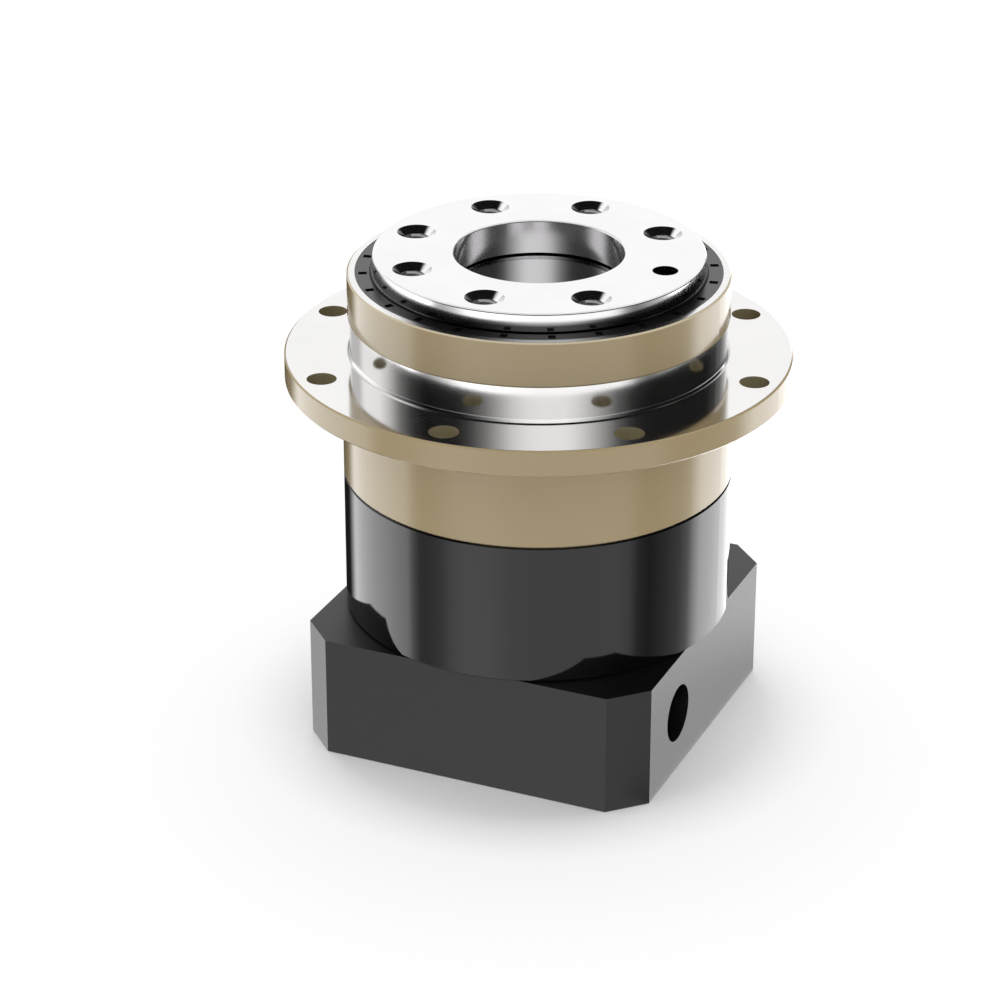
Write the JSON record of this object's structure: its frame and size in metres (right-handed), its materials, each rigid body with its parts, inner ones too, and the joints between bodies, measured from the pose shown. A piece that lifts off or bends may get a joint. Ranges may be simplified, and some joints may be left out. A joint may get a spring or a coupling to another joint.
{
  "type": "planetary gearhead with rotating output flange",
  "caption": "Coaxial planetary gear unit: square motor adapter plate, round gear body, mounting flange with centring land, and a rotating output flange with threaded holes",
  "frame": {"origin": "centre of the motor face, on the output axis, at the bottom of the unit", "axes": "+Z along the output axis from motor to output, +X towards the dowel hole and access hole"},
  "size_m": [0.12, 0.12, 0.119],
  "materials": {
    "polished_steel": "fine turned and polished steel",
    "machined_aluminium": "machined bare aluminium",
    "champagne": "champagne anodised aluminium, turned",
    "black_anodised": "gloss black anodised aluminium",
    "seal_rubber": "dark grey nitrile rubber",
    "ground_steel": "ground bearing and gear steel",
    "black_steel": "black oxide screw steel",
    "cage_steel": "pressed steel"
  },
  "bodies": {
    "housing": {"adapter_plate": "black_anodised", "adapter_plate_screws": "black_steel", "input_flange": "machined_aluminium", "input_seal": "seal_rubber", "input_seat_circlip": "ground_steel", "input_bearing_outer_ring": "ground_steel", "ring_gear_body": "black_anodised", "housing_screws": "black_steel", "output_housing": "champagne", "output_seal": "seal_rubber", "upper_bearing_outer_ring": "ground_steel", "lower_bearing_outer_ring": "ground_steel"},
    "carrier": {"output_flange": "polished_steel", "planet_pins": "ground_steel", "planet_thrust_washers": "ground_steel", "upper_bearing_inner_ring": "ground_steel", "lower_bearing_inner_ring": "ground_steel", "bearing_spacer": "ground_steel", "bearing_lock_nut": "ground_steel"},
    "input": {"input_shaft": "ground_steel", "sun_gear": "ground_steel", "clamp_collar": "machined_aluminium", "clamp_screw": "black_steel", "input_shaft_circlip": "ground_steel", "input_bearing_inner_ring": "ground_steel"},
    "input_ball_set": {"input_bearing_balls": "ground_steel", "input_bearing_cage": "cage_steel"},
    "upper_roller_set": {"upper_bearing_rollers": "ground_steel", "upper_bearing_cage": "cage_steel"},
    "lower_roller_set": {"lower_bearing_rollers": "ground_steel", "lower_bearing_cage": "cage_steel"},
    "planet_1": {"planet_gear_1": "ground_steel"},
    "needles_1": {"planet_needles_1": "ground_steel"},
    "planet_2": {"planet_gear_2": "ground_steel"},
    "needles_2": {"planet_needles_2": "ground_steel"},
    "planet_3": {"planet_gear_3": "ground_steel"},
    "needles_3": {"planet_needles_3": "ground_steel"}
  },
  "joints": [
    {"name": "output_rotation", "type": "hinge", "parent": "housing", "child": "carrier", "pos_m": [0, 0, 0.06], "axis": [0, 0, 1], "continuous": true},
    {"name": "input_rotation", "type": "hinge", "parent": "housing", "child": "input", "pos_m": [0, 0, 0.06], "axis": [0, 0, 1], "continuous": true},
    {"name": "input_ball_orbit", "type": "hinge", "parent": "housing", "child": "input_ball_set", "pos_m": [0, 0, 0.06], "axis": [0, 0, 1], "continuous": true},
    {"name": "upper_roller_orbit", "type": "hinge", "parent": "housing", "child": "upper_roller_set", "pos_m": [0, 0, 0.06], "axis": [0, 0, 1], "continuous": true},
    {"name": "lower_roller_orbit", "type": "hinge", "parent": "housing", "child": "lower_roller_set", "pos_m": [0, 0, 0.06], "axis": [0, 0, 1], "continuous": true},
    {"name": "planet_spin_1", "type": "hinge", "parent": "carrier", "child": "planet_1", "pos_m": [0.0225, 0, 0.054], "axis": [0, 0, 1], "continuous": true},
    {"name": "needle_orbit_1", "type": "hinge", "parent": "carrier", "child": "needles_1", "pos_m": [0.0225, 0, 0.054], "axis": [0, 0, 1], "continuous": true},
    {"name": "planet_spin_2", "type": "hinge", "parent": "carrier", "child": "planet_2", "pos_m": [-0.01125, 0.01949, 0.054], "axis": [0, 0, 1], "continuous": true},
    {"name": "needle_orbit_2", "type": "hinge", "parent": "carrier", "child": "needles_2", "pos_m": [-0.01125, 0.01949, 0.054], "axis": [0, 0, 1], "continuous": true},
    {"name": "planet_spin_3", "type": "hinge", "parent": "carrier", "child": "planet_3", "pos_m": [-0.01125, -0.01949, 0.054], "axis": [0, 0, 1], "continuous": true},
    {"name": "needle_orbit_3", "type": "hinge", "parent": "carrier", "child": "needles_3", "pos_m": [-0.01125, -0.01949, 0.054], "axis": [0, 0, 1], "continuous": true}
  ],
  "couplings": [
    {"joint": "input_rotation", "follows": "output_rotation", "ratio": 5},
    {"joint": "input_ball_orbit", "follows": "output_rotation", "ratio": 2.1556},
    {"joint": "upper_roller_orbit", "follows": "output_rotation", "ratio": 0.47224},
    {"joint": "lower_roller_orbit", "follows": "output_rotation", "ratio": 0.47224},
    {"joint": "planet_spin_1", "follows": "output_rotation", "ratio": -2.6667},
    {"joint": "needle_orbit_1", "follows": "output_rotation", "ratio": -1.6085},
    {"joint": "planet_spin_2", "follows": "output_rotation", "ratio": -2.6667},
    {"joint": "needle_orbit_2", "follows": "output_rotation", "ratio": -1.6085},
    {"joint": "planet_spin_3", "follows": "output_rotation", "ratio": -2.6667},
    {"joint": "needle_orbit_3", "follows": "output_rotation", "ratio": -1.6085}
  ]
}
